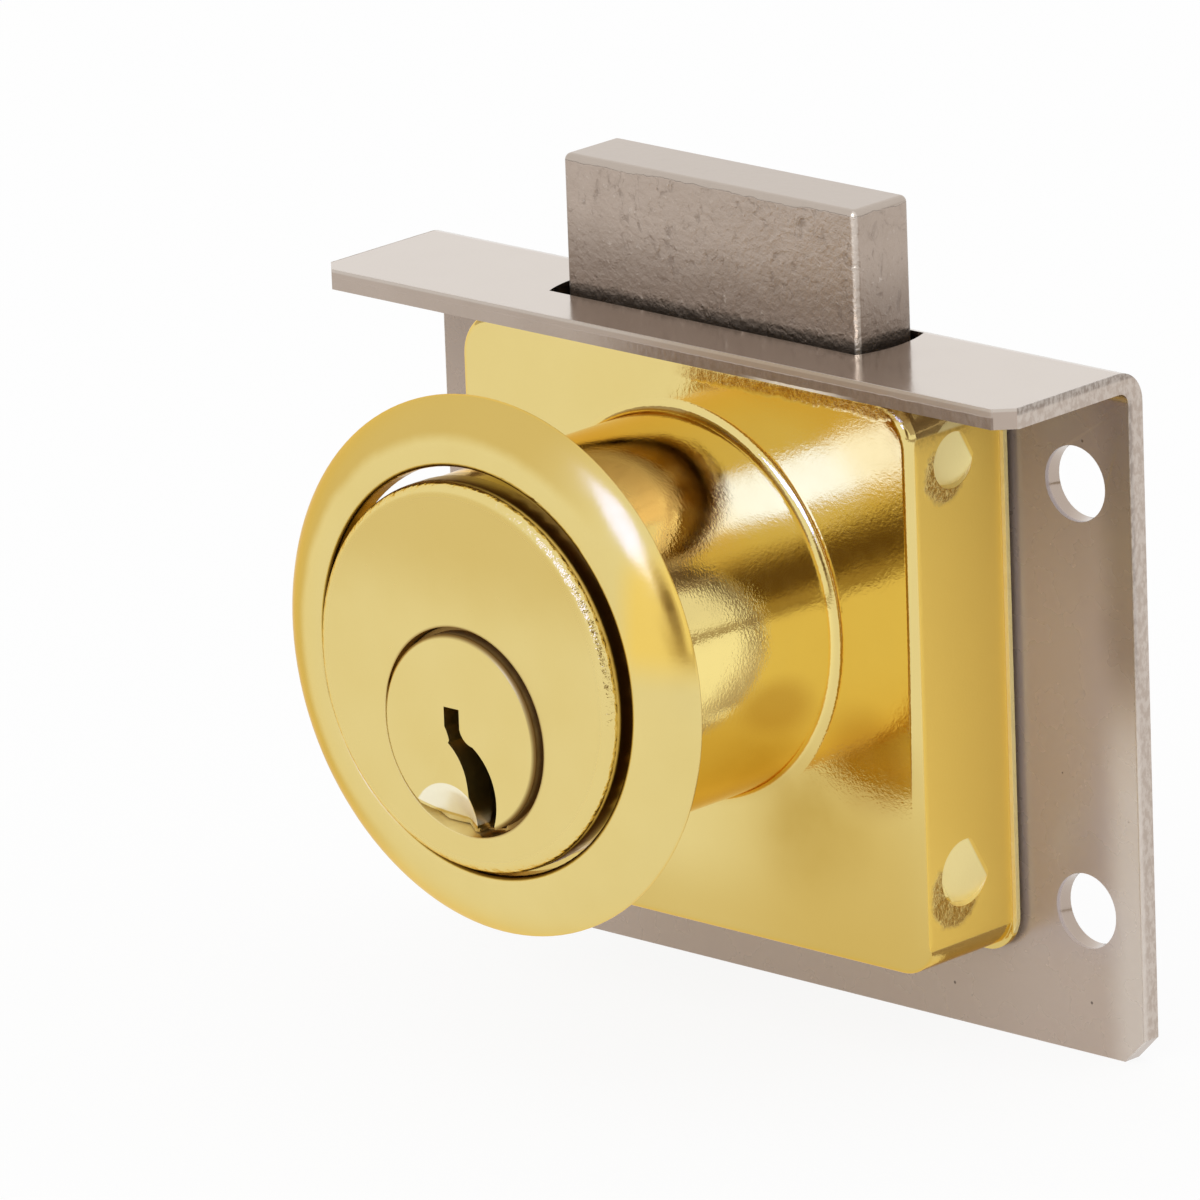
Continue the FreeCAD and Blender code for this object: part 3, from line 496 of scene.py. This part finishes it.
def rough_bolt(name):
    """Nickel over a cast and peened bolt: softly pitted, smooth on top, worn at the right front edge with a
    painted highlight there, painted shade lower down and a band of painted shade at the foot.
    """
    nickel = Finish(name)
    across, deep, up = nickel.axes()

    top = nickel.past(nickel.rough_edge(up, size=1.8, swing=0.28), BOLT_TOP, soft=0.12)
    # Worn right front edge, with a painted highlight along it.
    worn = nickel.times(nickel.past(nickel.rough_edge(across, size=0.8, swing=0.1), BOLT_RIGHT, soft=0.12),
                        nickel.within(nickel.rough_edge(deep, size=0.8, swing=0.1), BOLT_FRONT, soft=0.12))
    # Painted shade: a dark ragged band at the bolt's foot, wider at the right.
    foot = nickel.within(nickel.rough_edge(up, size=0.45, swing=0.35), 21.9, soft=0.35)
    right_foot = nickel.times(nickel.within(nickel.rough_edge(up, size=0.6, swing=0.5), 22.5, soft=0.6),
                              nickel.past(across, 12.0))
    shade = nickel.within(up, 25.0, soft=5.0)

    clouds = nickel.noise(2.5, detail=4, roughness=0.7)
    lumps = nickel.noise(1.1, detail=3, roughness=0.6)
    pits = nickel.noise(0.45, detail=3, roughness=0.6, distortion=0.3)
    pit_marks = nickel.span(pits, (0.62, 0.75), (0.0, 1.0))
    cuts = nickel.noise(0.8, detail=3, roughness=0.65, distortion=0.7, stretch=(1.0, 1.0, 0.7))
    scars = nickel.span(cuts, (0.52, 0.72), (0.0, 1.0))
    colour = nickel.coats(
        nickel.blend(clouds, NICKEL_LIGHT, NICKEL_DEEP),
        (shade, 0.5, NICKEL_DARK),
        (scars, 0.4, NICKEL_DARK),
        (pit_marks, 0.35, NICKEL_BRIGHT),
        (nickel.sum((foot, 0.5), (right_foot, 0.1)), 1.0, NICKEL_FOOT_SHADE),
        (top, 0.9, NICKEL_TOP),
        (worn, 0.6, NICKEL_BRIGHT),
    )
    calm = nickel.span(top, (0.0, 1.0), (1.0, 0.1))
    normal = nickel.relief(*[(nickel.times(height, calm), depth)
                             for height, depth in ((lumps, 0.09), (pits, 0.07), (scars, -0.02))])
    return nickel.finish(colour, nickel.span(top, (0.0, 1.0), (0.42, 0.3)), normal)


def plain_metal(name, light, deep, roughness):
    """Inner pieces: turned or stamped metal with a fine grain."""
    metal = Finish(name)
    grain = metal.noise(0.4)
    gloss = metal.span(grain, (0.2, 0.8), (roughness * 0.8, roughness * 1.2))
    return metal.finish(metal.blend(grain, light, deep), gloss, metal.relief((grain, 0.004)))


FINISHES = {
    "nickel_plate": plated_sheet("nickel_sheet"),
    "plated_case": case_plating("case_brass"),
    "brass_face": face_brass("face_brass"),
    "rosette_brass": rosette_brass("rosette_brass"),
    "cast_bolt": rough_bolt("bolt_nickel"),
    "spring_steel": plain_metal("spring_steel", SPRING_LIGHT, SPRING_DEEP, roughness=0.3),
    "inner_steel": plain_metal("inner_steel", STEEL_LIGHT, STEEL_DEEP, roughness=0.35),
    "inner_brass": plain_metal("inner_brass", BRASS_LIGHT, BRASS_DEEP, roughness=0.3),
}
slots = {entry["node"]: entry["material_slot"] for entry in frame["record"]["subparts"]}
for node, thing in frame["nodes"].items():
    thing.data.materials.clear()
    thing.data.materials.append(FINISHES[slots[node]])


# Edges

JOIN_DISTANCE = 0.001 * MM
BEVEL_SEGMENTS = 3
BEVEL_FROM_ANGLE = math.radians(35)
EDGE_WIDTHS = {"back_plate": 0.14, "case": 0.18, "bolt": 0.2, "rosette": 0.08, "cylinder_body": 0.12,
               "plug": 0.06, "cam": 0.1, "guide_frame": 0.1, "pin_chamber_cover": 0.1}


def soft_edges(name, crease_from=None):
    """A modifier group that joins the faces of a solid and shades them as one surface.

    Edges that lie at least crease_from out to either side stay sharp.
    """
    group = bpy.data.node_groups.new(name, "GeometryNodeTree")
    for way in ("INPUT", "OUTPUT"):
        group.interface.new_socket("Geometry", in_out=way, socket_type="NodeSocketGeometry")
    chain = [add_node(group, "NodeGroupInput"),
             add_node(group, "GeometryNodeMergeByDistance", {"Distance": JOIN_DISTANCE}),
             add_node(group, "GeometryNodeSetShadeSmooth")]
    if crease_from is not None:
        position = add_node(group, "GeometryNodeInputPosition").outputs[0]
        parts = add_node(group, "ShaderNodeSeparateXYZ", {0: position})
        out = calculate(group, "ABSOLUTE", parts.outputs["X"])
        past = add_node(group, "FunctionNodeCompare", {"A": out, "B": crease_from},
                        data_type="FLOAT", operation="GREATER_EQUAL")
        chain.append(add_node(group, "GeometryNodeSetShadeSmooth",
                              {"Shade Smooth": False, "Selection": past.outputs[0]}, domain="EDGE"))
    chain.append(add_node(group, "NodeGroupOutput"))
    for first, second in zip(chain, chain[1:]):
        group.links.new(first.outputs[0], second.inputs[0])
    return group


JOINED = soft_edges("joined_faces")
CREASED = soft_edges("creased_faces", (CASE_SIDE - 0.01) * MM)
for node, width in EDGE_WIDTHS.items():
    thing = frame["nodes"][node]
    thing.modifiers.new("joined", "NODES").node_group = CREASED if node == "case" else JOINED
    bevel = thing.modifiers.new("worn_edges", "BEVEL")
    bevel.width = width * MM
    bevel.segments = BEVEL_SEGMENTS
    bevel.limit_method = "ANGLE"
    bevel.angle_limit = BEVEL_FROM_ANGLE
    thing.modifiers.new("even_shading", "WEIGHTED_NORMAL").keep_sharp = True


# Floor, light and camera: lengths in metres, angles in degrees, lens and sensor in millimetres

FLOOR_SIZE = 6.0
FLOOR_COLOUR = (0.9, 0.9, 0.9, 1.0)
FLOOR_ROUGHNESS = 0.9
FLOOR_WHITENESS = 0.9

CAMERA_DARK = dict(azimuth=43, elevation=14.5, edge=15, core=6, inside=0.11)
BRIGHT_BACK = dict(azimuth=-138, elevation=18, edge=42, core=20, inside=1.08)
SKYLINE_HEIGHTS = (0.035, 0.075)
SKYLINE_LEVELS = (0.35, 1.0)
SKYLINE_FROM_RIGHT = (0.3, 0.5)
WARMTH = {"Red": -0.18, "Green": 0.0, "Blue": 0.25}

SOFTBOX = dict(azimuth=16, elevation=34, distance=0.8, width=0.32, height=0.42)
CASE_SLOTS = {"plated_case"}
BRASS_SLOTS = {"brass_face", "rosette_brass", "inner_brass"}
STEEL_SLOTS = set(FINISHES) - CASE_SLOTS - BRASS_SLOTS
CASE_KEY_COLOUR = (0.06, 0.128, 1.0)
BRASS_KEY_COLOUR = (0.13, 0.2, 1.0)
STEEL_KEY_COLOUR = (1.0, 1.0, 1.0)

CAMERA_AZIMUTH = 42.983
CAMERA_ELEVATION = 16.624
CAMERA_ROLL = -1.989
CAMERA_DISTANCE = 0.8579
CAMERA_MIDDLE = (0.0, -8 * MM, 3.2 * MM)
AIM_LEFT = 6.07 * MM
AIM_UP = 0.71 * MM
LENS = 418.35
SENSOR_WIDTH = 36


def toward(azimuth, elevation):
    """The direction at an azimuth, counted from the front to the right, and an elevation."""
    turn, climb = math.radians(azimuth), math.radians(elevation)
    return Vector((math.sin(turn) * math.cos(climb), -math.cos(turn) * math.cos(climb), math.sin(climb)))


def seen_or_reflected(tree):
    """1 for camera, glossy and transmission rays, 0 for the rays that light things."""
    path = add_node(tree, "ShaderNodeLightPath")
    total = path.outputs["Is Camera Ray"]
    for name in ("Is Glossy Ray", "Is Transmission Ray"):
        total = calculate(tree, "MAXIMUM", total, path.outputs[name])
    return total


def make_floor(level):
    """A pale floor that shows white and keeps a soft shadow."""
    bpy.ops.mesh.primitive_plane_add(size=FLOOR_SIZE, location=(0, 0, level))
    floor = bpy.context.object
    floor.name = "floor"
    material = bpy.data.materials.new("pale_floor")
    material.use_nodes = True
    tree = material.node_tree
    shader = tree.nodes["Principled BSDF"]
    feed(tree, shader, {"Base Color": FLOOR_COLOUR, "Roughness": FLOOR_ROUGHNESS})
    white = add_node(tree, "ShaderNodeEmission", {"Strength": 1.0})
    weight = calculate(tree, "MULTIPLY", seen_or_reflected(tree), FLOOR_WHITENESS)
    mix = add_node(tree, "ShaderNodeMixShader", {0: weight, 1: shader.outputs[0], 2: white.outputs[0]})
    feed(tree, tree.nodes["Material Output"], {"Surface": mix.outputs[0]})
    floor.data.materials.append(material)


make_floor(cad_box[0][2])


def zone(tree, direction, azimuth, elevation, edge, core, inside):
    """A factor that goes from 1 to the inside value between two angles from a direction."""
    facing = add_node(tree, "ShaderNodeVectorMath", {0: direction, 1: toward(azimuth, elevation)},
                      operation="DOT_PRODUCT")
    ends = [math.cos(math.radians(angle)) for angle in (edge, core)]
    return carry(tree, facing.outputs["Value"], ends, (1.0, inside))


def skyline(tree, direction):
    """A factor for a thin dark line along the horizon to the lock's right.

    Its heights and its start are the upward and rightward parts of a direction of length 1.
    """
    parts = add_node(tree, "ShaderNodeSeparateXYZ", {0: direction})
    height = calculate(tree, "ABSOLUTE", parts.outputs["Z"])
    line = carry(tree, height, SKYLINE_HEIGHTS, SKYLINE_LEVELS)
    elsewhere = carry(tree, parts.outputs["X"], SKYLINE_FROM_RIGHT, (1.0, 0.0))
    return calculate(tree, "MAXIMUM", line, elsewhere)


def warm_darks(tree, level):
    """A grey level as a colour that turns warmer as it gets darker than white."""
    darkness = calculate(tree, "MINIMUM", level, 1.0)
    channels = {}
    for channel, exponent in WARMTH.items():
        tint = calculate(tree, "POWER", darkness, exponent)
        channels[channel] = calculate(tree, "MULTIPLY", level, tint)
    return add_node(tree, "ShaderNodeCombineColor", channels).outputs[0]


def make_world():
    """White all round, a little brighter behind the left side, with the dark of the camera's place."""
    world = bpy.data.worlds.new("studio")
    bpy.context.scene.world = world
    world.use_nodes = True
    tree = world.node_tree
    direction = add_node(tree, "ShaderNodeTexCoord").outputs["Generated"]
    level = zone(tree, direction, **CAMERA_DARK)
    for factor in (zone(tree, direction, **BRIGHT_BACK), skyline(tree, direction)):
        level = calculate(tree, "MULTIPLY", level, factor)
    surround = tree.nodes["Background"]
    feed(tree, surround, {"Color": warm_darks(tree, level)})
    white = add_node(tree, "ShaderNodeBackground", {"Color": WHITE})
    seen = add_node(tree, "ShaderNodeLightPath").outputs["Is Camera Ray"]
    mix = add_node(tree, "ShaderNodeMixShader", {0: seen, 1: surround.outputs[0], 2: white.outputs[0]})
    feed(tree, tree.nodes["World Output"], {"Surface": mix.outputs[0]})


make_world()


def make_softbox(name, radiance, colour, slots_lit):
    """A rectangular light that faces the lock and shines on the pieces of the given finishes.

    The radiance is the brightness of its surface.
    """
    width, height = SOFTBOX["width"], SOFTBOX["height"]
    light = bpy.data.lights.new(name, "AREA")
    light.shape = "RECTANGLE"
    light.size = width
    light.size_y = height
    light.energy = radiance * math.pi * width * height
    light.color = colour
    lamp = bpy.data.objects.new(name, light)
    bpy.context.scene.collection.objects.link(lamp)
    away = toward(SOFTBOX["azimuth"], SOFTBOX["elevation"])
    lamp.location = away * SOFTBOX["distance"]
    lamp.rotation_euler = away.to_track_quat("Z", "Y").to_euler()
    lamp.visible_camera = False
    lamp.visible_diffuse = False
    lit = bpy.data.collections.new(f"{name}_pieces")
    for node, thing in frame["nodes"].items():
        if slots[node] in slots_lit:
            lit.objects.link(thing)
    lamp.light_linking.receiver_collection = lit


make_softbox("case_key", radiance=12.0, colour=CASE_KEY_COLOUR, slots_lit=CASE_SLOTS)
make_softbox("brass_key", radiance=3.4, colour=BRASS_KEY_COLOUR, slots_lit=BRASS_SLOTS)
make_softbox("steel_key", radiance=6.0, colour=STEEL_KEY_COLOUR, slots_lit=STEEL_SLOTS)


def make_camera():
    """A long lens from the right and above, as in the photograph."""
    back = toward(CAMERA_AZIMUTH, CAMERA_ELEVATION)
    level_right = toward(CAMERA_AZIMUTH + 90, 0)
    level_up = back.cross(level_right)
    roll = math.radians(CAMERA_ROLL)
    right = level_right * math.cos(roll) + level_up * math.sin(roll)
    up = level_up * math.cos(roll) - level_right * math.sin(roll)
    middle = Vector(CAMERA_MIDDLE)
    station = middle + back * CAMERA_DISTANCE
    aim = middle - right * AIM_LEFT + up * AIM_UP
    out = (station - aim).normalized()
    side = up.cross(out).normalized()
    camera = bpy.data.cameras.new("camera")
    camera.lens = LENS
    camera.sensor_width = SENSOR_WIDTH
    thing = bpy.data.objects.new("camera", camera)
    bpy.context.scene.collection.objects.link(thing)
    turn = Matrix((side, out.cross(side), out)).transposed().to_4x4()
    thing.matrix_world = Matrix.Translation(station) @ turn
    bpy.context.scene.camera = thing


make_camera()
bpy.context.scene.view_settings.view_transform = "Standard"
